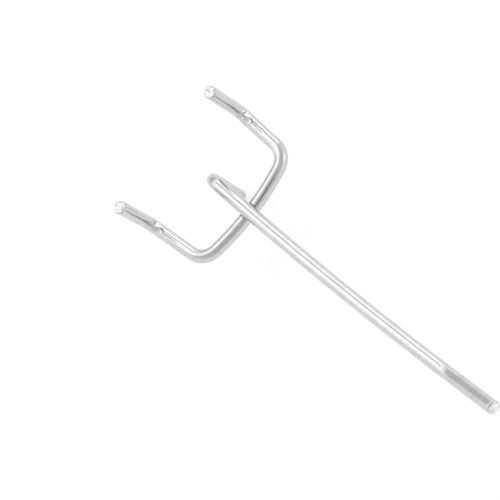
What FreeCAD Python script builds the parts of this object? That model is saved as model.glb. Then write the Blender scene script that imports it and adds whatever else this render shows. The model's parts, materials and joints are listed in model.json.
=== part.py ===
"""Double-prong pegboard hook: two bent round wires, welded where one crosses the other.

Frame, in millimetres: the origin lies on the front face of the board, midway between the prongs,
at the height of the legs that pass through the board. +X points out of the board, +Z points up.
"""
import FreeCAD
import Part
import os
from math import radians

from FreeCAD import Vector
from Sketcher import Constraint

# Driving dimensions: millimetres, or degrees where the name ends in angle.
# Lengths beside a bend run to its sharp corner, where the two straight axes would meet.
DIMENSIONS = {
    # both wires
    "wire_diameter": 4.88,
    "end_chamfer": 0.5,
    # where the hook meets the board, and how far the arm is pressed into the yoke by the weld
    "board_gap": 3.3,
    "seat_depth": 0.35,
    "weld_reach": 2.7,
    "weld_rise": 1.0,
    # arm: the shank ahead of the crossing and behind it, the tip and the leg that rests on the board
    "arm_rise_angle": 4.0,
    "shank_length": 102.0,
    "tip_length": 26.9,
    "tip_bend_angle": 17.5,
    "tip_lean_angle": 12.5,
    "tip_bend_radius": 18.0,
    "back_length": 19.8,
    "rest_length": 26.4,
    "rest_bend_radius": 5.9,
    # yoke: the bowed base, its two corners, the legs through the board and the prongs behind it
    "prong_spacing": 50.8,
    "base_bow_angle": 10.4,
    "corner_radius": 7.6,
    "leg_splay_angle": 3.8,
    "prong_bend_radius": 8.0,
    "prong_length": 24.2,
}

# The same values as the expressions that the features are bound with
WIRE = "Sizes.wire_diameter"
RISE = "(Sizes.arm_rise_angle * 1deg)"
SPLAY = "(Sizes.leg_splay_angle * 1deg)"
TIP_BEND = "(Sizes.tip_bend_angle * 1deg)"
AXIS_DISTANCE = "(Sizes.wire_diameter - Sizes.seat_depth)"
TIP_TANGENT = f"(Sizes.tip_bend_radius * tan({TIP_BEND} / 2))"
REST_TANGENT = f"(Sizes.rest_bend_radius * tan(45deg - {RISE} / 2))"
CROSSING_X = f"(Sizes.wire_diameter / 2 + Sizes.back_length * cos({RISE}))"
APEX_X = f"({CROSSING_X} + {AXIS_DISTANCE} * sin({RISE}))"
PRONG_X = "(-Sizes.board_gap - Sizes.wire_diameter / 2)"
PRONG_Y = "(Sizes.prong_spacing / 2)"
LEG_END_X = f"({PRONG_X} + Sizes.prong_bend_radius * cos({SPLAY}))"
LEG_END_Y = f"({PRONG_Y} - Sizes.prong_bend_radius * sin({SPLAY}))"


def make_sheet(doc):
    """Spreadsheet that holds each driving dimension in a cell with its own name."""
    sheet = doc.addObject("Spreadsheet::Sheet", "Sizes")
    for row, (name, value) in enumerate(DIMENSIONS.items(), start=1):
        sheet.set(f"A{row}", name)
        sheet.set(f"B{row}", str(value))
        sheet.setAlias(f"B{row}", name)
    doc.recompute()


def make_body(doc, label):
    """Empty body whose label names the file of its shape."""
    body = doc.addObject("PartDesign::Body", label)
    body.Label = label
    return body


def origin_plane(body, role):
    """One of the three planes at the body's own origin."""
    return next(feature for feature in body.Origin.OriginFeatures if feature.Role == role)


def place(item, prop, base, turn_axis=None, turn=None):
    """Bind a placement to the sheet: base by coordinate, and a turn about one axis."""
    for coordinate, expression in base.items():
        item.setExpression(f"{prop}.Base.{coordinate}", expression)
    if turn_axis:
        for coordinate in "xyz":
            item.setExpression(f"{prop}.Rotation.Axis.{coordinate}", str(int(coordinate == turn_axis)))
        item.setExpression(f"{prop}.Rotation.Angle", turn)


def make_sketch(body, name, role, base, turn_axis=None, turn=None):
    """Sketch on an origin plane of its body, moved and turned by expressions in that plane's axes."""
    sketch = body.newObject("Sketcher::SketchObject", name)
    sketch.AttachmentSupport = [(origin_plane(body, role), "")]
    sketch.MapMode = "FlatFace"
    place(sketch, "AttachmentOffset", base, turn_axis, turn)
    return sketch


def bind(sketch, name, expression, *constraint):
    """Add one dimension to a sketch and tie it to the sheet."""
    value = float(sketch.evalExpression(expression))
    if constraint[0] == "Angle":
        value = radians(value)
    index = sketch.addConstraint(Constraint(*constraint, value))
    sketch.renameConstraint(index, name)
    sketch.setExpression(f"Constraints.{name}", expression)


def wire_section(body, name, role, base, turn_axis=None, turn=None):
    """Round section of the wire, centred on the sketch's origin."""
    sketch = make_sketch(body, name, role, base, turn_axis, turn)
    circle = sketch.addGeometry(Part.Circle(Vector(), Vector(0, 0, 1), DIMENSIONS["wire_diameter"] / 2))
    sketch.addConstraint(Constraint("Coincident", circle, 3, -1, 1))
    bind(sketch, "wire", WIRE, "Diameter", circle)
    return sketch


def join_tangent(sketch, *ends):
    """Make pairs of curve ends meet and run on smoothly: each pair is curve, end, curve, end."""
    for pair in ends:
        sketch.addConstraint(Constraint("Tangent", *pair))


def arc(centre_x, centre_y, radius, start, end):
    """First guess of a bend, with its angles in degrees; the constraints then set it."""
    circle = Part.Circle(Vector(centre_x, centre_y, 0), Vector(0, 0, 1), radius)
    return Part.ArcOfCircle(circle, radians(start), radians(end))


def line(x0, y0, x1, y1):
    """First guess of a straight run."""
    return Part.LineSegment(Vector(x0, y0, 0), Vector(x1, y1, 0))


def sweep(body, name, section, path):
    """Solid wire: the section carried along the path."""
    pipe = body.newObject("PartDesign::AdditivePipe", name)
    pipe.Profile = section
    pipe.Spine = path
    return pipe


def chamfer_ends(doc, body):
    """Break the edge round every sheared end, the only flat faces that the wire has."""
    doc.recompute()
    wire = body.Tip
    flats = [face for face in wire.Shape.Faces if isinstance(face.Surface, Part.Plane)]
    rims = [edge for face in flats for edge in face.Edges]
    names = [f"Edge{number}" for number, edge in enumerate(wire.Shape.Edges, start=1)
             if any(edge.isSame(rim) for rim in rims)]
    chamfer = body.newObject("PartDesign::Chamfer", f"{body.Name}_ends")
    chamfer.Base = (wire, names)
    chamfer.setExpression("Size", "Sizes.end_chamfer")


def make_arm(doc):
    """Arm wire, drawn with its shank along X from the crossing and then raised as a whole."""
    body = make_body(doc, "arm_wire")
    size = DIMENSIONS

    path = make_sketch(body, "arm_path", "XZ_Plane", {})
    radius = size["rest_bend_radius"]
    rest, bend, shank = path.addGeometry([
        line(-size["back_length"], -size["rest_length"], -size["back_length"], -radius),
        arc(-size["back_length"] + radius, -radius, radius, 90, 180),
        line(-size["back_length"] + radius, 0, size["shank_length"], 0),
    ])
    join_tangent(path, (rest, 2, bend, 2), (bend, 1, shank, 1))
    path.addConstraint(Constraint("PointOnObject", shank, 1, -1))
    path.addConstraint(Constraint("PointOnObject", shank, 2, -1))
    bind(path, "bend_radius", "Sizes.rest_bend_radius", "Radius", bend)
    bind(path, "rest_angle", f"90deg - {RISE}", "Angle", rest)
    bind(path, "rest_run", f"Sizes.rest_length - {REST_TANGENT}", "Distance", rest)
    bind(path, "back_run", f"Sizes.back_length - {REST_TANGENT}", "DistanceX", shank, 1, -1, 1)
    bind(path, "shank_run", f"Sizes.shank_length - {TIP_TANGENT}", "DistanceX", -1, 1, shank, 2)
    foot = wire_section(body, "arm_foot", "XY_Plane", {
        "x": f"-Sizes.back_length - Sizes.rest_length * sin({RISE})",
        "z": f"-Sizes.rest_length * cos({RISE})",
    }, "y", RISE)
    sweep(body, "arm_shank", foot, path)

    tip_path = make_sketch(body, "tip_path", "XZ_Plane", {"x": "Sizes.shank_length"},
                           "x", "-Sizes.tip_lean_angle * 1deg")
    radius = size["tip_bend_radius"]
    bend, tip = tip_path.addGeometry([
        arc(0, radius, radius, -90, size["tip_bend_angle"] - 90),
        line(0, 0, size["tip_length"], radius),
    ])
    join_tangent(tip_path, (bend, 2, tip, 1))
    tip_path.addConstraint(Constraint("PointOnObject", bend, 1, -1))
    tip_path.addConstraint(Constraint("Vertical", bend, 3, bend, 1))
    bind(tip_path, "bend_radius", "Sizes.tip_bend_radius", "Radius", bend)
    bind(tip_path, "bend_start", TIP_TANGENT, "DistanceX", bend, 1, -1, 1)
    bind(tip_path, "tip_angle", TIP_BEND, "Angle", tip)
    bind(tip_path, "tip_run", f"Sizes.tip_length - {TIP_TANGENT}", "Distance", tip)
    shank_end = wire_section(body, "shank_end", "YZ_Plane", {"z": f"Sizes.shank_length - {TIP_TANGENT}"})
    sweep(body, "arm_tip", shank_end, tip_path)

    chamfer_ends(doc, body)
    place(body, "Placement", {"x": CROSSING_X, "z": f"{AXIS_DISTANCE} * cos({RISE})"}, "y", f"-{RISE}")
    return body


def make_yoke(doc):
    """Yoke wire: one half is drawn and mirrored, and the arm's seat is cut across its base."""
    body = make_body(doc, "yoke_wire")
    size = DIMENSIONS

    path = make_sketch(body, "base_path", "XY_Plane", {})
    half = size["prong_spacing"] / 2
    radius = size["corner_radius"]
    apex = size["back_length"]
    bow_radius = 2 * size["prong_spacing"]
    bow, corner, leg = path.addGeometry([
        arc(apex - bow_radius, 0, bow_radius, 0, size["base_bow_angle"]),
        arc(apex - 2 * radius, half - radius, radius, size["base_bow_angle"], 90),
        line(apex - 2 * radius, half, 0, half),
    ])
    join_tangent(path, (bow, 2, corner, 1), (corner, 2, leg, 1))
    path.addConstraint(Constraint("PointOnObject", bow, 1, -1))
    path.addConstraint(Constraint("PointOnObject", bow, 3, -1))
    bind(path, "apex", APEX_X, "DistanceX", -1, 1, bow, 1)
    bind(path, "bow_angle", "Sizes.base_bow_angle * 1deg", "Angle", bow)
    bind(path, "corner_radius", "Sizes.corner_radius", "Radius", corner)
    bind(path, "leg_angle", f"180deg - {SPLAY}", "Angle", leg)
    bind(path, "leg_depth", f"{APEX_X} - {LEG_END_X}", "DistanceX", leg, 2, bow, 1)
    bind(path, "leg_width", LEG_END_Y, "DistanceY", -1, 1, leg, 2)
    middle = wire_section(body, "base_middle", "XZ_Plane", {"x": APEX_X})
    base = sweep(body, "base_half", middle, path)

    prong_path = make_sketch(body, "prong_path", "XZ_Plane", {"x": PRONG_X, "z": f"-{PRONG_Y}"},
                             "y", f"-{SPLAY}")
    radius = size["prong_bend_radius"]
    bend, prong = prong_path.addGeometry([
        arc(radius, radius, radius, 180, 270),
        line(0, radius, 0, size["prong_length"]),
    ])
    join_tangent(prong_path, (bend, 1, prong, 1))
    prong_path.addConstraint(Constraint("PointOnObject", bend, 2, -1))
    prong_path.addConstraint(Constraint("Vertical", bend, 3, bend, 2))
    prong_path.addConstraint(Constraint("PointOnObject", bend, 1, -2))
    prong_path.addConstraint(Constraint("Vertical", prong))
    bind(prong_path, "bend_radius", "Sizes.prong_bend_radius", "Radius", bend)
    bind(prong_path, "prong_run", "Sizes.prong_length - Sizes.prong_bend_radius", "Distance", prong)
    leg_end = wire_section(body, "leg_end", "YZ_Plane", {"x": LEG_END_Y, "z": LEG_END_X},
                           "y", f"-{SPLAY}")
    prong_half = sweep(body, "prong_half", leg_end, prong_path)

    mirrored = body.newObject("PartDesign::Mirrored", "other_half")
    mirrored.Originals = [base, prong_half]
    mirrored.MirrorPlane = (origin_plane(body, "XZ_Plane"), [""])
    body.Tip = mirrored

    seat_section = wire_section(body, "seat_section", "YZ_Plane", {
        "y": f"{AXIS_DISTANCE} * cos({RISE})",
        "z": CROSSING_X,
    }, "x", f"-{RISE}")
    # cut both ways, well past the width of the base
    seat = body.newObject("PartDesign::Pocket", "arm_seat")
    seat.Profile = seat_section
    seat.Midplane = True
    seat.setExpression("Length", "4 * Sizes.wire_diameter")

    chamfer_ends(doc, body)
    return body


def make_weld(doc, arm, yoke):
    """Bead of weld metal that fills the corners between the two crossing wires."""
    bead = doc.addObject("Part::Ellipsoid", "bead")
    bead.setExpression("Radius1", "Sizes.weld_rise")
    bead.setExpression("Radius2", "Sizes.weld_reach")
    bead.setExpression("Radius3", "Sizes.weld_reach")
    place(bead, "Placement", {
        "x": f"{CROSSING_X} + {AXIS_DISTANCE} / 2 * sin({RISE})",
        "z": f"{AXIS_DISTANCE} / 2 * cos({RISE})",
    }, "y", f"-{RISE}")
    under_arm = doc.addObject("Part::Cut", "bead_under_arm")
    under_arm.Base = bead
    under_arm.Tool = arm
    weld = doc.addObject("Part::Cut", "weld")
    weld.Label = "weld"
    weld.Base = under_arm
    weld.Tool = yoke
    return weld


def check(doc, nodes):
    """Stop if a feature failed or if a node is not one closed, valid solid."""
    failed = [item.Name for item in doc.Objects if {"Invalid", "Error"} & set(item.State)]
    if failed:
        raise RuntimeError(f"features that failed: {failed}")
    for node in nodes:
        if node.Shape.isNull() or not node.Shape.isValid() or len(node.Shape.Solids) != 1:
            raise RuntimeError(f"{node.Label} is not one valid solid")


def main():
    doc = FreeCAD.newDocument("pegboard_hook")
    make_sheet(doc)
    arm = make_arm(doc)
    yoke = make_yoke(doc)
    weld = make_weld(doc, arm, yoke)
    doc.recompute()

    nodes = [arm, yoke, weld]
    check(doc, nodes)
    os.makedirs("parts", exist_ok=True)
    for node in nodes:
        node.Shape.exportStep(f"parts/{node.Label}.step")
        print(node.Label, round(node.Shape.Volume, 1), node.Shape.BoundBox)


main()
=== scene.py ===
"""Pegboard hook: the two plated wires and the weld between them, on a plain pale floor.

Lengths are in metres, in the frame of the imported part: the origin is on the front face of the
board, midway between the prongs, +X points out of the board and +Z up. Left is +Y, as the arm
points forward.
"""

import json
from math import cos, degrees, pi, radians, sin, tan

import bmesh
import bpy
import numpy as np
from bpy.props import FloatProperty, FloatVectorProperty, PointerProperty
from mathutils import Matrix, Vector


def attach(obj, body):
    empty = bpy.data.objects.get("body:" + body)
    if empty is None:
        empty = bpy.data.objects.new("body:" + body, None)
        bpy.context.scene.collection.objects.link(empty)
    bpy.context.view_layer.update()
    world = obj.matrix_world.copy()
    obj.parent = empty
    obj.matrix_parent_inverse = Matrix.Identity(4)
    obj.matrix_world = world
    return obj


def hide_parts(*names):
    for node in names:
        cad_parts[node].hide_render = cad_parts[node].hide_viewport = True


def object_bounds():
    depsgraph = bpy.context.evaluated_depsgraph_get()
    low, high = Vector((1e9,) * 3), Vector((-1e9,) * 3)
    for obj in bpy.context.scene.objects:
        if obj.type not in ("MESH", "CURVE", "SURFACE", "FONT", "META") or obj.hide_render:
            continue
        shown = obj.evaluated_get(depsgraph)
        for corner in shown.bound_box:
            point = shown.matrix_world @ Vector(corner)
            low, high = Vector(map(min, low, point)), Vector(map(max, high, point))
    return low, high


bl_info = {
    "name": "Pegboard hook",
    "version": (1, 0, 0),
    "blender": (4, 5, 0),
    "location": "View3D > Sidebar > Hook",
    "description": "Builds a double-prong pegboard hook of bright plated wire, and its studio",
    "category": "Add Mesh",
}

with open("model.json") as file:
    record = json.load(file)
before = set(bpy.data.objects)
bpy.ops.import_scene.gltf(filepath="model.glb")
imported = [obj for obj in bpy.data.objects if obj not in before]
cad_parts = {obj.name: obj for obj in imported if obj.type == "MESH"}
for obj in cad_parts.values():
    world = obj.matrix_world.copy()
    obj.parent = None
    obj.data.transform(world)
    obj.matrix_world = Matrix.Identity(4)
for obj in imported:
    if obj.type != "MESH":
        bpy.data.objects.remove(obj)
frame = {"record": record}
CAD_BOX = [list(corner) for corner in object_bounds()]

MM = 0.001
LEFT, RIGHT = 1, -1
X_AXIS, Y_AXIS, Z_AXIS = (Vector(axis) for axis in ((1, 0, 0), (0, 1, 0), (0, 0, 1)))
MOUNTS = {mount["name"]: mount for mount in frame["record"]["mounts"]}
PRONG = MOUNTS["prong_left"]
PRONG_X, PRONG_Y = PRONG["pos_m"][:2]
# the plated wire is this much thicker in radius than the wire of the solids
PLATING = 0.05 * MM
WIRE_RADIUS = PRONG["dims"]["r_mm"] * MM + PLATING


# Sizes and finishes
def length(name, description, default):
    return FloatProperty(name=name, description=description, default=default,
                         min=0, unit="LENGTH", subtype="DISTANCE", precision=5)


def angle(name, description, default):
    return FloatProperty(name=name, description=description, default=radians(default),
                         subtype="ANGLE")


def share(name, description, default):
    return FloatProperty(name=name, description=description, default=default,
                         min=0, max=1, subtype="FACTOR")


def colour(name, description, default):
    return FloatVectorProperty(name=name, description=description, default=default,
                               min=0, max=1, size=3, subtype="COLOR")


class HookSizes(bpy.types.PropertyGroup):
    wire_radius: length("Wire radius", "Half the diameter of both wires", WIRE_RADIUS)
    rim: length("Rim", "Width of the broken edge round each sheared end", 0.5 * MM)
    crown: length("Crown", "How far the middle of a sheared end stands out", 0.25 * MM)
    tear: length("Tear", "Roughness of the sheared ends", 0.42 * MM)
    ripple: length("Ripple", "Unevenness that straightening left in the wires", 0.03 * MM)
    seat_depth: length("Seat depth", "How far the arm is pressed into the yoke", 0.35 * MM)
    arm_rise: angle("Arm rise", "Slope of the shank above level", 4.0)
    arm_shift: length("Arm shift", "How far the arm lies to its left at the weld", 0.20 * MM)
    arm_yaw: angle("Arm yaw", "How far the arm turns to its left at the weld", -1.34)
    arm_bow: angle("Arm bow", "How far the arm curves to its left between its corners", 3.74)
    shank: length("Shank", "From the weld to the corner of the tip", 102.0 * MM)
    tip: length("Tip", "From that corner to the arm's end", 27.5 * MM)
    tip_bend: angle("Tip bend", "How far the tip turns up from the shank", 17.5)
    tip_lean: angle("Tip lean", "How far that turn leans to one side", 3.4)
    tip_radius: length("Tip bend radius", "On the wire's axis", 18.0 * MM)
    back: length("Back", "From the weld to the corner of the rest leg", 19.8 * MM)
    rest: length("Rest leg", "From that corner to the leg's end", 26.4 * MM)
    rest_radius: length("Rest bend radius", "On the wire's axis", 5.9 * MM)
    bow: angle("Base bow", "Turn of each half of the base", 10.4)
    corner_radius: length("Corner radius", "On the wire's axis", 7.6 * MM)
    splay: angle("Leg splay", "How far each leg turns outwards", 3.8)
    longer_leg: length("Longer leg", "How much longer the right-hand leg is", 0.9 * MM)
    prong: length("Prong", "From the legs' height to the prong's end", 24.2 * MM)
    prong_radius: length("Prong bend radius", "On the wire's axis", 4.0 * MM)
    prong_lean: angle("Prong lean", "How far both prongs lean to the right", 1.0)
    right_marks: length("Right marks", "From the right prong's axis to the tool marks", 2.55 * MM)
    left_marks: length("Left marks", "From the left prong's axis to the tool marks", 3.3 * MM)
    marked_run: length("Marked run", "Part of each leg that has fine rings for them", 4.5 * MM)
    flat_depth: length("Flat depth", "How far the tool's flat cuts into the leg", 0.20 * MM)
    flat_turn: angle("Flat turn", "How far the flat lies round the leg from its top", 29.0)
    flat_slope: share("Flat slope", "How fast the flat rises out of the leg", 0.05)
    dent: length("Dent", "Depth of the tool's dent in front of that flat", 0.62 * MM)
    dent_reach: length("Dent reach", "Radius of the dent", 2.3 * MM)
    dent_turn: angle("Dent turn", "How far the dent lies round the leg from its top", -24.0)
    dent_ahead: length("Dent ahead", "From the start of the flat to the dent's middle", 3.4 * MM)
    bead_reach: length("Bead reach", "Radius of the weld bead, seen from above", 2.45 * MM)
    bead_rise: length("Bead rise", "Half the height of the weld bead", 1.0 * MM)
    bead_shift: length("Bead shift", "How far the bead lies ahead of the crossing", 0.7 * MM)
    bead_swell: length("Bead swell", "Unevenness of the squeezed metal", 0.25 * MM)


class HookFinish(bpy.types.PropertyGroup):
    plate: colour("Plate", "Colour of the bright plating", (0.665, 0.663, 0.662))
    dull: colour("Dull plate", "Colour where the plating is clouded", (0.615, 0.613, 0.612))
    cut: colour("Sheared end", "Colour of the plating over the ends", (0.88, 0.88, 0.88))
    # painted shade: this near-black colour stands for the shade that falls between the touching
    # wires
    crevice: colour("Crevice", "Colour of the thin plating between the wires", (0.10, 0.10, 0.10))
    bead: colour("Bead", "Colour of the weld metal under its plating", (0.50, 0.50, 0.505))
    gloss: share("Roughness", "Roughness of the bright plating", 0.04)
    floor: colour("Floor", "Colour of the floor", (0.80, 0.80, 0.80))


class HookStage(bpy.types.PropertyGroup):
    camera_place: FloatVectorProperty(
        name="Camera", description="Where the camera stands", size=3, unit="LENGTH", precision=5,
        default=(0.49637, 0.04973, 0.85497))
    camera_turn: FloatVectorProperty(
        name="Camera turn", description="Rotation of the camera", size=3, subtype="EULER",
        default=[radians(a) for a in (15.786, 24.3185, 41.8178)])
    camera_lens: FloatProperty(
        name="Lens", description="Focal length, in millimetres", unit="CAMERA", default=201.6)


# Shader maths
class Value:
    """A shader socket that takes part in arithmetic: each operator adds its Math node."""

    def __init__(self, nodes, socket):
        self.nodes = nodes
        self.socket = socket

    def math(self, operation, *values):
        return self.nodes.add("ShaderNodeMath", {"operation": operation}, *values)

    def __add__(self, other):
        return self.math("ADD", self, other)

    def __radd__(self, other):
        return self.math("ADD", other, self)

    def __sub__(self, other):
        return self.math("SUBTRACT", self, other)

    def __rsub__(self, other):
        return self.math("SUBTRACT", other, self)

    def __mul__(self, other):
        return self.math("MULTIPLY", self, other)

    def __rmul__(self, other):
        return self.math("MULTIPLY", other, self)

    def size(self):
        return self.math("ABSOLUTE", self)

    def larger(self, other):
        return self.math("MAXIMUM", self, other)


class Nodes:
    """The node tree of one material or of the world."""

    def __init__(self, owner):
        owner.use_nodes = True
        self.tree = owner.node_tree
        self.tree.nodes.clear()

    def add(self, kind, settings=None, *values, out=0, **named):
        """A node of that type, with its settings, then the values or links of its sockets.

        A socket whose value is None keeps its default.
        """
        node = self.tree.nodes.new(kind)
        for key, setting in (settings or {}).items():
            setattr(node, key, setting)
        by_name = ((key.replace("_", " "), value) for key, value in named.items())
        for key, value in (*enumerate(values), *by_name):
            if isinstance(value, Value):
                self.tree.links.new(value.socket, node.inputs[key])
            elif value is not None:
                node.inputs[key].default_value = value
        return Value(self, node.outputs[out]) if node.outputs else node

    def ramp(self, factor, low, high):
        """Smooth step from 0 to 1 while a value goes from one level to another."""
        return self.add("ShaderNodeMapRange", {"interpolation_type": "SMOOTHSTEP"},
                        factor, low, high, 0.0, 1.0)

    def noise(self, vector, scale, detail, roughness):
        return self.add("ShaderNodeTexNoise", {}, Vector=vector, Scale=scale, Detail=detail,
                        Roughness=roughness)

    def blend(self, factor, first, second):
        """Colour between two colours: the Mix node's inputs 6 and 7, and its output 2."""
        colours = [value if isinstance(value, Value) else (*value, 1) for value in (first, second)]
        unused = [None] * 5
        return self.add("ShaderNodeMix", {"data_type": "RGBA"}, factor, *unused, *colours, out=2)

    def stretch(self, vector, *factors):
        return self.add("ShaderNodeVectorMath", {"operation": "MULTIPLY"}, vector, factors)


def new_material(name):
    material = bpy.data.materials.new(name)
    return material, Nodes(material)


# scale per metre, detail and roughness of each pattern in the finishes
DRAWN_LINES = (2600, 3.0, 0.6)
BROAD_LINES = (700, 2.0, 0.5)
CLOUDS = (260, 4.0, 0.6)
GRAIN = (2400, 3.0, 0.6)
TORN_METAL = (1100, 3.0, 0.6)
WELD_CLOUDS = (900, 4.0, 0.6)
# how the lines are drawn out along the wire
DRAWN, BROADLY_DRAWN = (1, 1, 0.012), (1, 1, 0.03)
# distances from the contact of the wires, round it and above it, over which the painted shade
# starts
PAINTED_SHADE_ROUND, PAINTED_SHADE_ABOVE = (3.4 * MM, 2.2 * MM), (0.75 * MM, 0.25 * MM)


def make_plate(finish, contact):
    """Bright zinc over drawn wire: faint lines along the wire, a slightly clouded gloss, and
    painted shade, a near-black colour, round the point where the two wires touch."""
    material, nodes = new_material("bright_plate")
    run = nodes.add("ShaderNodeAttribute", {"attribute_name": "wire_run"}, out="Vector")
    place = nodes.add("ShaderNodeTexCoord", {}, out="Object")
    lines = nodes.noise(nodes.stretch(run, *DRAWN), *DRAWN_LINES)
    broad = nodes.noise(nodes.stretch(run, *BROADLY_DRAWN), *BROAD_LINES)
    cloud = nodes.noise(place, *CLOUDS)
    grain = nodes.noise(place, *GRAIN)
    base = nodes.blend(nodes.ramp(cloud, 0.35, 0.65), finish.dull, finish.plate)
    away = nodes.add("ShaderNodeVectorMath", {"operation": "SUBTRACT"}, place, contact)
    around = nodes.add("ShaderNodeVectorMath", {"operation": "LENGTH"}, away, out="Value")
    above = nodes.add("ShaderNodeSeparateXYZ", {}, away, out="Z").size()
    # painted shade: the plate turns near black round the point where the wires touch
    crevice = nodes.ramp(around, *PAINTED_SHADE_ROUND) * nodes.ramp(above, *PAINTED_SHADE_ABOVE)
    base = nodes.blend(crevice, base, finish.crevice)
    roughness = finish.gloss - 0.03 + cloud * 0.05 + lines * 0.03
    relief = lines * 0.35 + broad * 0.45 + grain * 0.20
    bump = nodes.add("ShaderNodeBump", {}, Strength=0.22, Distance=0.02 * MM, Height=relief)
    shader = nodes.add("ShaderNodeBsdfPrincipled", {}, Base_Color=base, Metallic=1.0,
                       Roughness=roughness, Normal=bump)
    nodes.add("ShaderNodeOutputMaterial", {}, Surface=shader)
    return material


def make_sheared(finish):
    """The plating over a sheared end, which is torn, whiter and a little matt."""
    material, nodes = new_material("sheared_end")
    place = nodes.add("ShaderNodeTexCoord", {}, out="Object")
    torn = nodes.noise(nodes.stretch(place, 1, 1, 0.6), *TORN_METAL)
    base = nodes.blend(nodes.ramp(torn, 0.38, 0.55), finish.dull, finish.cut)
    bump = nodes.add("ShaderNodeBump", {}, Strength=0.6, Distance=0.10 * MM, Height=torn)
    shader = nodes.add("ShaderNodeBsdfPrincipled", {}, Base_Color=base, Metallic=1.0,
                       Roughness=0.26 + torn * 0.12, Normal=bump)
    nodes.add("ShaderNodeOutputMaterial", {}, Surface=shader)
    return material


def make_bead_finish(finish):
    """Plating over squeezed weld metal: duller than the wire."""
    material, nodes = new_material("plated_weld")
    place = nodes.add("ShaderNodeTexCoord", {}, out="Object")
    cloud = nodes.noise(place, *WELD_CLOUDS)
    base = nodes.blend(nodes.ramp(cloud, 0.35, 0.65), finish.bead, finish.dull)
    bump = nodes.add("ShaderNodeBump", {}, Strength=0.4, Distance=0.04 * MM, Height=cloud)
    shader = nodes.add("ShaderNodeBsdfPrincipled", {}, Base_Color=base, Metallic=1.0,
                       Roughness=0.2 + cloud * 0.1, Normal=bump)
    nodes.add("ShaderNodeOutputMaterial", {}, Surface=shader)
    return material


# Modelling the wire
SIDES = 96
RIM_STEPS = 4
# distance between the rings of a run, and where the tool marks come
STEP, FINE_STEP = 1.2 * MM, 0.22 * MM
# degrees between the rings of a bend, and of the bowed base
BEND_STEP, BASE_STEP = 3.0, 0.7
MERGE = 0.002 * MM
# size of the box that cuts the tool's flat, and the angle from which its edges are creases
JAW, CREASE = 5 * MM, radians(8)
TEAR_SCALE, RIPPLE_SCALE, SWELL_SCALE = 1.0 * MM, 9 * MM, 1.1 * MM
SMOOTH_WIRE, SMOOTH_BEAD = radians(35), radians(60)


def deselect():
    if bpy.context.object and bpy.context.object.mode != "OBJECT":
        bpy.ops.object.mode_set(mode="OBJECT")
    bpy.ops.object.select_all(action="DESELECT")


def choose(obj):
    """Make this the active object and the only selected one."""
    deselect()
    bpy.context.view_layer.objects.active = obj
    obj.select_set(True)


def edit_faces(obj, chosen):
    """Enter edit mode with just these faces selected."""
    bpy.ops.object.mode_set(mode="OBJECT")
    mesh = obj.data
    for group in (mesh.vertices, mesh.edges, mesh.polygons):
        group.foreach_set("select", np.zeros(len(group), bool))
    for index in chosen:
        mesh.polygons[index].select = True
    bpy.ops.object.mode_set(mode="EDIT")
    bpy.ops.mesh.select_mode(type="FACE")


class Wire:
    """A wire drawn as by hand: a disc is extruded along each run and spun round each bend."""

    def __init__(self, name, radius, start, heading):
        self.radius = radius
        self.place = Vector(start)
        self.heading = Vector(heading).normalized()
        self.across = self.heading.orthogonal().normalized()
        self.travelled = 0.0
        self.rings = []
        deselect()
        turn = self.heading.to_track_quat("Z", "Y").to_euler()
        bpy.ops.mesh.primitive_circle_add(vertices=SIDES, radius=radius, fill_type="NGON",
                                          location=self.place, rotation=turn)
        self.obj = bpy.context.object
        self.obj.name = self.obj.data.name = name
        bpy.ops.object.transform_apply()
        bpy.ops.object.mode_set(mode="EDIT")
        bpy.ops.mesh.select_mode(type="FACE")
        bpy.ops.mesh.select_all(action="SELECT")
        self.note()

    def note(self):
        """Keep this ring's centre and axes, which later unroll the wire for its finish."""
        self.rings.append((self.travelled, self.place.copy(), self.heading.copy(),
                           self.across.copy()))

    def run(self, distance, ring_step=STEP):
        """A straight run, with a ring at every step."""
        rings = max(1, round(distance / ring_step))
        for _ in range(rings):
            step = self.heading * (distance / rings)
            bpy.ops.mesh.extrude_region_move(TRANSFORM_OT_translate={"value": step})
            self.place = self.place + step
            self.travelled += distance / rings
            self.note()
        return self

    def bend(self, turn, radius, axis, step_angle=BEND_STEP):
        """A bend of that many radians about an axis square to the wire."""
        axis = Vector(axis).normalized()
        steps = max(2, round(degrees(turn) / step_angle))
        centre = self.place + axis.cross(self.heading) * radius
        # with no window, spin turns the other way
        bpy.ops.mesh.spin(steps=steps, angle=-turn, center=centre, axis=axis)
        for _ in range(steps):
            part = Matrix.Rotation(turn / steps, 3, axis)
            self.place = centre + part @ (self.place - centre)
            self.heading = part @ self.heading
            self.across = part @ self.across
            self.travelled += turn * radius / steps
            self.note()
        return self

    def caps(self, centre):
        """The flat face that closes the wire at one end."""
        return [face.index for face in self.obj.data.polygons if len(face.vertices) == SIDES
                and (face.center - centre).length < self.radius / 2]

    def close(self, rim):
        """Close the shape and break the rims of the sheared ends."""
        bpy.ops.mesh.select_all(action="SELECT")
        bpy.ops.mesh.remove_doubles(threshold=MERGE)
        bpy.ops.mesh.normals_make_consistent(inside=False)
        for ring in (self.rings[0], self.rings[-1]):
            bpy.ops.object.mode_set(mode="OBJECT")
            caps = self.caps(ring[1])
            if len(caps) != 1:
                raise RuntimeError(f"{self.obj.name}: {len(caps)} caps found at an end")
            edit_faces(self.obj, caps)
            bpy.ops.mesh.bevel(offset=rim, segments=RIM_STEPS, profile=0.5, affect="EDGES")
        bpy.ops.object.mode_set(mode="OBJECT")
        return self.obj


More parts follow.
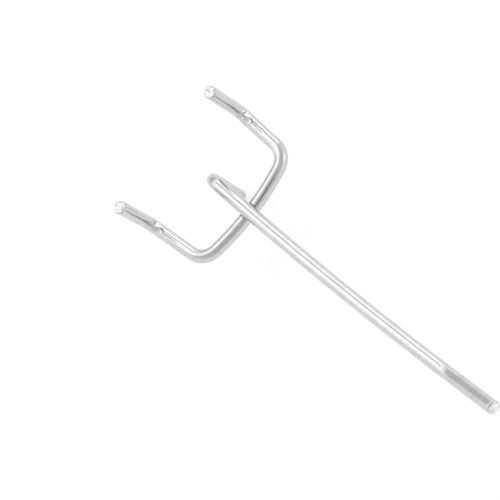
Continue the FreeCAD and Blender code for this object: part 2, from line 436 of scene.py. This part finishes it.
def unroll(wire):
    """Give each vertex the place where it would lie if the wire were straight along Z."""
    mesh = wire.obj.data
    points = np.zeros(len(mesh.vertices) * 3)
    mesh.vertices.foreach_get("co", points)
    points = points.reshape(-1, 3)
    travelled, centres, headings, acrosses = (np.array(column) for column in zip(*wire.rings))
    block = 4000  # points at a time, so that the table of distances stays small
    nearest = np.concatenate([
        np.linalg.norm(points[start:start + block, None] - centres[None], axis=2).argmin(1)
        for start in range(0, len(points), block)])
    away = points - centres[nearest]
    heading, across = headings[nearest], acrosses[nearest]
    other = np.cross(heading, across)
    straight = np.stack([(away * across).sum(1), (away * other).sum(1),
                         travelled[nearest] + (away * heading).sum(1)], 1)
    attribute = mesh.attributes.new("wire_run", "FLOAT_VECTOR", "POINT")
    attribute.data.foreach_set("vector", straight.ravel())


def displace(obj, name, strength, scale=0.0, depth=1):
    """Apply a Displace modifier: with a cloud texture of that scale, or else straight outwards.

    It acts on the vertex group of the same name, or on the whole piece where there is none.
    """
    modifier = obj.modifiers.new(name, "DISPLACE")
    if scale:
        texture = bpy.data.textures.new(name, "CLOUDS")
        texture.noise_scale, texture.noise_depth, texture.noise_type = scale, depth, "SOFT_NOISE"
        modifier.texture = texture
        modifier.texture_coords = "LOCAL"
    modifier.mid_level = 0.5 if scale else 0
    modifier.strength = strength
    modifier.vertex_group = name if name in obj.vertex_groups else ""
    choose(obj)
    bpy.ops.object.modifier_apply(modifier=name)


def weigh(obj, name, place, reach, chosen=None):
    """Vertex group that fades from 1 at a place to 0 at a distance from it."""
    group = obj.vertex_groups.get(name) or obj.vertex_groups.new(name=name)
    for vertex in obj.data.vertices:
        far = (vertex.co - place).length / reach
        if far < 1 and (chosen is None or vertex.index in chosen):
            group.add([vertex.index], 1 - far * far, "REPLACE")


def put_in_place(obj, *nodes):
    """Let the piece ride on the part and stand for its CAD nodes."""
    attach(obj, "root")
    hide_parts(*nodes)


def roughen_ends(wire, sizes):
    """Fill both sheared ends with a fine grid, raise their middles and tear them a little."""
    obj = wire.obj
    cut = obj.vertex_groups.new(name="torn")
    for ring in (wire.rings[0], wire.rings[-1]):
        edit_faces(obj, wire.caps(ring[1]))
        bpy.ops.mesh.delete(type="ONLY_FACE")
        bpy.ops.mesh.select_all(action="DESELECT")
        bpy.ops.mesh.select_mode(type="EDGE")
        bpy.ops.mesh.select_non_manifold(extend=False, use_wire=False, use_multi_face=False,
                                         use_non_contiguous=False, use_verts=False)
        bpy.ops.mesh.fill_grid(span=SIDES // 4)
        bpy.ops.object.mode_set(mode="OBJECT")
        for face in obj.data.polygons:
            if face.select:
                face.material_index = 1
        inner = {vertex.index for vertex in obj.data.vertices if vertex.select}
        cut.add(list(inner), 1.0, "REPLACE")
        weigh(obj, "crown", ring[1], wire.radius - sizes.rim, inner)
    displace(obj, "crown", sizes.crown)
    displace(obj, "torn", sizes.tear, TEAR_SCALE, 2)


def press_flat(obj, corner, along, outwards):
    """The flat that the jaw of the bending tool left on the wire: cut off by a small box."""
    deselect()
    turn = Matrix((along, outwards.cross(along), outwards)).transposed().to_euler()
    middle = corner + along * JAW / 2 + outwards * JAW / 2
    bpy.ops.mesh.primitive_cube_add(size=JAW, location=middle, rotation=turn)
    jaw = bpy.context.object
    cut = obj.modifiers.new("pressed", "BOOLEAN")
    cut.operation, cut.solver, cut.object = "DIFFERENCE", "EXACT", jaw
    choose(obj)
    bpy.ops.object.modifier_apply(modifier="pressed")
    bpy.data.objects.remove(jaw)
    shape = bmesh.new()
    shape.from_mesh(obj.data)
    for edge in shape.edges:
        if (edge.verts[0].co - middle).length < JAW and edge.calc_face_angle(0) > CREASE:
            edge.smooth = False
    shape.to_mesh(obj.data)
    shape.free()


def show_smooth(obj, limit):
    choose(obj)
    bpy.ops.object.shade_smooth_by_angle(angle=limit)


def finish_wire(wire, sizes, node, marks=()):
    """Ends, tool marks, finish and place that both wires share."""
    obj = wire.close(sizes.rim)
    finish = bpy.context.scene.hook_finish
    known = bpy.data.materials.get
    obj.data.materials.append(known("bright_plate") or make_plate(finish, contact(sizes)))
    obj.data.materials.append(known("sheared_end") or make_sheared(finish))
    for dent, *_ in marks:
        weigh(obj, "pinched", dent, sizes.dent_reach)
    if marks:
        displace(obj, "pinched", -sizes.dent)
    for _, *flat in marks:
        press_flat(obj, *flat)
    roughen_ends(wire, sizes)
    displace(obj, "straightened", sizes.ripple, RIPPLE_SCALE)
    unroll(wire)
    show_smooth(obj, SMOOTH_WIRE)
    put_in_place(obj, node)


def axes_apart(sizes):
    """Distance between the axes of the two wires where they cross."""
    return 2 * sizes.wire_radius - sizes.seat_depth


def crossing(sizes):
    """Where the arm's axis passes over the base, and the height of that axis."""
    return Vector((sizes.wire_radius + sizes.back * cos(sizes.arm_rise), 0,
                   axes_apart(sizes) * cos(sizes.arm_rise)))


def contact(sizes):
    """Middle of the place where the two wires touch."""
    weld = crossing(sizes)
    return Vector((weld.x + axes_apart(sizes) / 2 * sin(sizes.arm_rise), 0, weld.z / 2))


class HOOK_OT_add_arm(bpy.types.Operator):
    """Add the arm: rest leg, raised shank and turned-up tip"""
    bl_idname = "hook.add_arm"
    bl_label = "Arm wire"

    def execute(self, context):
        s = context.scene.hook_sizes
        along = Vector((cos(s.arm_rise), 0, sin(s.arm_rise)))
        above = Vector((-sin(s.arm_rise), 0, cos(s.arm_rise)))
        rest_tangent = s.rest_radius * tan((pi / 2 - s.arm_rise) / 2)
        tip_tangent = s.tip_radius * tan(s.tip_bend / 2)
        # the arm curves evenly from bend to bend; traced back from the weld it starts here
        curve = s.arm_bow / (s.back + s.shank)
        yaw = s.arm_yaw - curve * (s.back - rest_tangent)
        forward = along * cos(yaw) + Y_AXIS * sin(yaw)
        start = (crossing(s) + along * (sin(yaw) - sin(s.arm_yaw)) / curve
                 + Y_AXIS * (s.arm_shift + (cos(s.arm_yaw) - cos(yaw)) / curve))
        rear = start - forward * rest_tangent
        wire = Wire("arm", s.wire_radius, rear - Z_AXIS * (s.rest - s.crown), Z_AXIS)
        wire.run(s.rest - s.crown - rest_tangent)
        wire.bend(Z_AXIS.angle(forward), s.rest_radius, Z_AXIS.cross(forward))
        bowed = s.back - rest_tangent + s.shank - tip_tangent
        wire.bend(bowed * curve, 1 / curve, above, degrees(STEP * curve))
        tip_up = above.cross(wire.heading) * sin(s.tip_lean) + above * cos(s.tip_lean)
        wire.bend(s.tip_bend, s.tip_radius, wire.heading.cross(tip_up))
        wire.run(s.tip - s.crown - tip_tangent)
        finish_wire(wire, s, "arm_wire")
        return {"FINISHED"}


def leg_axis(s, side):
    """Where the axes of one leg and its prong meet, and the leg's direction from there."""
    way = Vector((cos(s.splay), -side * sin(s.splay), 0))
    longer = s.longer_leg if side == RIGHT else 0
    return Vector((PRONG_X, side * PRONG_Y, 0)) - way * longer, way


def tool_marks(s, side, ahead):
    """Middle of the dent in one leg, then corner, direction and outward side of its flat."""
    foot, way = leg_axis(s, side)
    across = Z_AXIS.cross(way)
    top = Z_AXIS * cos(s.dent_turn) + across * sin(s.dent_turn)
    flank = Z_AXIS * cos(s.flat_turn) + across * sin(s.flat_turn)
    dent = foot + way * (ahead + s.dent_ahead) + top * s.wire_radius
    corner = foot + way * ahead + flank * (s.wire_radius - s.flat_depth)
    along = (way + flank * s.flat_slope).normalized()
    return dent, corner, along, along.cross(flank.cross(along)).normalized()


def base_outline(s):
    """Radius of the bowed base and length of the left leg that close the yoke's outline."""
    apex = crossing(s).x + axes_apart(s) * sin(s.arm_rise)
    leg_x = PRONG_X + s.prong_radius * cos(s.splay)
    leg_y = PRONG_Y - s.prong_radius * sin(s.splay)
    facing = pi / 2 - s.splay
    gap_x = leg_x - apex - s.corner_radius * (cos(facing) - cos(s.bow))
    gap_y = leg_y - s.corner_radius * (sin(facing) - sin(s.bow))
    closing = np.array([[cos(s.bow) - 1, -cos(s.splay)], [sin(s.bow), sin(s.splay)]])
    return (float(size) for size in np.linalg.solve(closing, [gap_x, gap_y]))


class HOOK_OT_add_yoke(bpy.types.Operator):
    """Add the yoke: two prongs, two legs and the bowed base between them"""
    bl_idname = "hook.add_yoke"
    bl_label = "Yoke wire"

    def execute(self, context):
        s = context.scene.hook_sizes
        bow_radius, leg = base_outline(s)
        corner_turn = pi / 2 - s.splay - s.bow
        straight = s.prong - s.crown - s.prong_radius
        up = Z_AXIS * cos(s.prong_lean) - Y_AXIS * sin(s.prong_lean)
        foot, way = leg_axis(s, RIGHT)
        wire = Wire("yoke", s.wire_radius, foot + up * (s.prong - s.crown), -up)
        wire.run(straight).bend((-up).angle(way), s.prong_radius, way.cross(up))
        wire.run(s.marked_run, FINE_STEP).run(leg + s.longer_leg - s.marked_run)
        wire.bend(corner_turn, s.corner_radius, Z_AXIS)
        wire.bend(2 * s.bow, bow_radius, Z_AXIS, BASE_STEP)
        wire.bend(corner_turn, s.corner_radius, Z_AXIS)
        wire.run(leg - s.marked_run).run(s.marked_run, FINE_STEP)
        back = wire.heading.copy()
        wire.bend(back.angle(up), s.prong_radius, back.cross(up)).run(straight)
        marks = [tool_marks(s, RIGHT, s.right_marks), tool_marks(s, LEFT, s.left_marks)]
        finish_wire(wire, s, "yoke_wire", marks)
        return {"FINISHED"}


class HOOK_OT_add_bead(bpy.types.Operator):
    """Add the bead of weld metal squeezed out where the arm crosses the base"""
    bl_idname = "hook.add_bead"
    bl_label = "Weld bead"

    def execute(self, context):
        s = context.scene.hook_sizes
        middle = contact(s) + X_AXIS * s.bead_shift
        deselect()
        bpy.ops.mesh.primitive_uv_sphere_add(segments=SIDES, ring_count=SIDES // 2, radius=1,
                                             location=middle, rotation=(0, -s.arm_rise, 0),
                                             scale=(s.bead_reach, s.bead_reach, s.bead_rise))
        obj = bpy.context.object
        obj.name = obj.data.name = "weld_bead"
        bpy.ops.object.transform_apply()
        displace(obj, "squeezed", s.bead_swell, SWELL_SCALE, 2)
        obj.data.materials.append(make_bead_finish(context.scene.hook_finish))
        show_smooth(obj, SMOOTH_BEAD)
        put_in_place(obj, "weld")
        return {"FINISHED"}


# Stage
FLOOR_SIZE = 8
# what lifts the white floor, as the camera sees it and as the metal mirrors it
FLOOR_SEEN, FLOOR_MIRRORED = 0.36, 0.30
CLIP_START, CLIP_END = 0.05, 20
# for each softbox its elevation and azimuth in degrees, distance, diameter and level
SOFTBOXES = (
    ("softbox_back", 57, 174, 0.9, 0.30, 0.12),
    ("softbox_side", 25, 112, 0.9, 0.22, 0.10),
)
# the level of the room's walls, and for each patch of light or shade on them its elevation and
# azimuth, the angles from there at which it starts and stops to fade, and what it adds
ROOM_LEVEL = 1.0
ROOM_PATCHES = (
    (65.8, 6.5, 40.0, 70.0, -0.31),  # dim ceiling round the camera
    (54.0, -13.0, 3.0, 20.0, -0.17),  # camera stand
    (58.0, 5.0, 2.0, 9.0, -0.60),  # camera
    (22.0, 174.0, 26.0, 34.0, -0.31),  # dark wall low behind the board
    (56.0, 178.0, 14.0, 33.0, 0.62),  # back softbox
    (33.0, -146.0, 8.0, 20.0, 0.28),  # its lower edge
    (23.0, 117.0, 8.0, 18.0, 0.48),  # side softbox
    (31.0, 143.0, 8.0, 16.0, 0.42),  # its rear end
    (15.0, 57.0, 10.0, 19.0, 0.44),  # window on the same side
    (12.0, 38.0, 8.0, 34.0, 0.17),  # glow round the window
)
# a narrow dark gap between the two softboxes draws the thin line on the bright wires: the
# directions of its ends, the angles from its middle at which it starts and is full, how far
# past its ends it fades, and how dark it is
GAP_FROM, GAP_TO = (43, 127), (50, 168)
GAP_EDGE, GAP_CORE, GAP_FADE = 5.0, 2.5, 8.0
GAP_SHADE = 0.45


def towards(elevation, azimuth):
    """Direction from the hook, in degrees above the floor and round from +X."""
    e, a = radians(elevation), radians(azimuth)
    return Vector((cos(e) * cos(a), cos(e) * sin(a), sin(e)))


def add_softbox(name, elevation, azimuth, distance, size, level):
    """A diffused lamp that faces the hook, with an even level over its face."""
    lamp = bpy.data.lights.new(name, "AREA")
    lamp.shape = "DISK"
    lamp.size = size
    area = pi * size ** 2 / 4
    lamp.energy = level * pi * area
    obj = bpy.data.objects.new(name, lamp)
    bpy.context.scene.collection.objects.link(obj)
    way = towards(elevation, azimuth)
    obj.location = way * distance
    obj.rotation_euler = way.to_track_quat("Z", "Y").to_euler()
    obj.visible_camera = False


def make_world():
    """A pale room: soft patches of light on its back and side, and a dim camera side."""
    world = bpy.context.scene.world or bpy.data.worlds.new("room")
    bpy.context.scene.world = world
    nodes = Nodes(world)
    way = nodes.add("ShaderNodeTexCoord", {}, out="Generated")

    def along(direction):
        """Cosine of the angle between the view into the room and a direction."""
        return nodes.add("ShaderNodeVectorMath", {"operation": "DOT_PRODUCT"}, way, direction,
                         out="Value")

    level = ROOM_LEVEL
    for elevation, azimuth, inner, outer, added in ROOM_PATCHES:
        spot = along(towards(elevation, azimuth))
        level = level + added * nodes.ramp(spot, cos(radians(outer)), cos(radians(inner)))
    first, last = towards(*GAP_FROM), towards(*GAP_TO)
    half = first.angle(last) / 2
    beside = along(first.cross(last).normalized()).size()
    gap = nodes.ramp(beside, sin(radians(GAP_EDGE)), sin(radians(GAP_CORE))) * nodes.ramp(
        along((first + last).normalized()), cos(half + radians(GAP_FADE)), cos(half))
    level = level * (1 - GAP_SHADE * gap)
    camera = nodes.add("ShaderNodeLightPath", {}, out="Is Camera Ray")
    strength = level * (1 - camera) + camera
    shader = nodes.add("ShaderNodeBackground", {}, (1, 1, 1, 1), strength)
    nodes.add("ShaderNodeOutputWorld", {}, Surface=shader)


def make_floor_finish(finish):
    """A white sweep that stays white in the picture and in the metal, and takes the shadow."""
    material, nodes = new_material("pale_floor")
    camera, glossy, passing = (nodes.add("ShaderNodeLightPath", {}, out=ray)
                               for ray in ("Is Camera Ray", "Is Glossy Ray", "Is Transmission Ray"))
    diffuse = nodes.add("ShaderNodeBsdfDiffuse", {}, (*finish.floor, 1))
    lift = camera * FLOOR_SEEN + glossy.larger(passing) * FLOOR_MIRRORED
    glow = nodes.add("ShaderNodeEmission", {}, (1, 1, 1, 1), lift)
    both = nodes.add("ShaderNodeAddShader", {}, diffuse, glow)
    nodes.add("ShaderNodeOutputMaterial", {}, Surface=both)
    return material


class HOOK_OT_set_stage(bpy.types.Operator):
    """Set the floor, the lamps, the room and the camera"""
    bl_idname = "hook.set_stage"
    bl_label = "Stage"

    def execute(self, context):
        scene = context.scene
        stage = scene.hook_stage
        deselect()
        bpy.ops.mesh.primitive_plane_add(size=FLOOR_SIZE, location=(0, 0, CAD_BOX[0][2]))
        floor = bpy.context.object
        floor.name = "floor"
        floor.data.materials.append(make_floor_finish(scene.hook_finish))
        for softbox in SOFTBOXES:
            add_softbox(*softbox)
        make_world()
        camera = bpy.data.objects.new("camera", bpy.data.cameras.new("camera"))
        scene.collection.objects.link(camera)
        camera.location = stage.camera_place
        camera.rotation_euler = stage.camera_turn
        camera.data.lens = stage.camera_lens
        camera.data.clip_start, camera.data.clip_end = CLIP_START, CLIP_END
        scene.camera = camera
        scene.view_settings.view_transform = "Standard"
        return {"FINISHED"}


class HOOK_PT_panel(bpy.types.Panel):
    """The hook's pieces, sizes and finishes"""
    bl_idname = "HOOK_PT_panel"
    bl_label = "Pegboard hook"
    bl_space_type = "VIEW_3D"
    bl_region_type = "UI"
    bl_category = "Hook"

    def draw(self, context):
        layout = self.layout
        for operator in OPERATORS:
            layout.operator(operator.bl_idname)
        for name, group in GROUPS.items():
            box = layout.box()
            for size in group.__annotations__:
                box.prop(getattr(context.scene, name), size)


OPERATORS = (HOOK_OT_add_arm, HOOK_OT_add_yoke, HOOK_OT_add_bead, HOOK_OT_set_stage)
GROUPS = {"hook_sizes": HookSizes, "hook_finish": HookFinish, "hook_stage": HookStage}


def register():
    for cls in (*GROUPS.values(), *OPERATORS, HOOK_PT_panel):
        bpy.utils.register_class(cls)
    for name, group in GROUPS.items():
        setattr(bpy.types.Scene, name, PointerProperty(type=group))


def unregister():
    for name in GROUPS:
        delattr(bpy.types.Scene, name)
    for cls in reversed((*GROUPS.values(), *OPERATORS, HOOK_PT_panel)):
        bpy.utils.unregister_class(cls)


def main():
    register()
    bpy.ops.hook.add_arm()
    bpy.ops.hook.add_yoke()
    bpy.ops.hook.add_bead()
    bpy.ops.hook.set_stage()


if __name__ == "__main__":
    main()
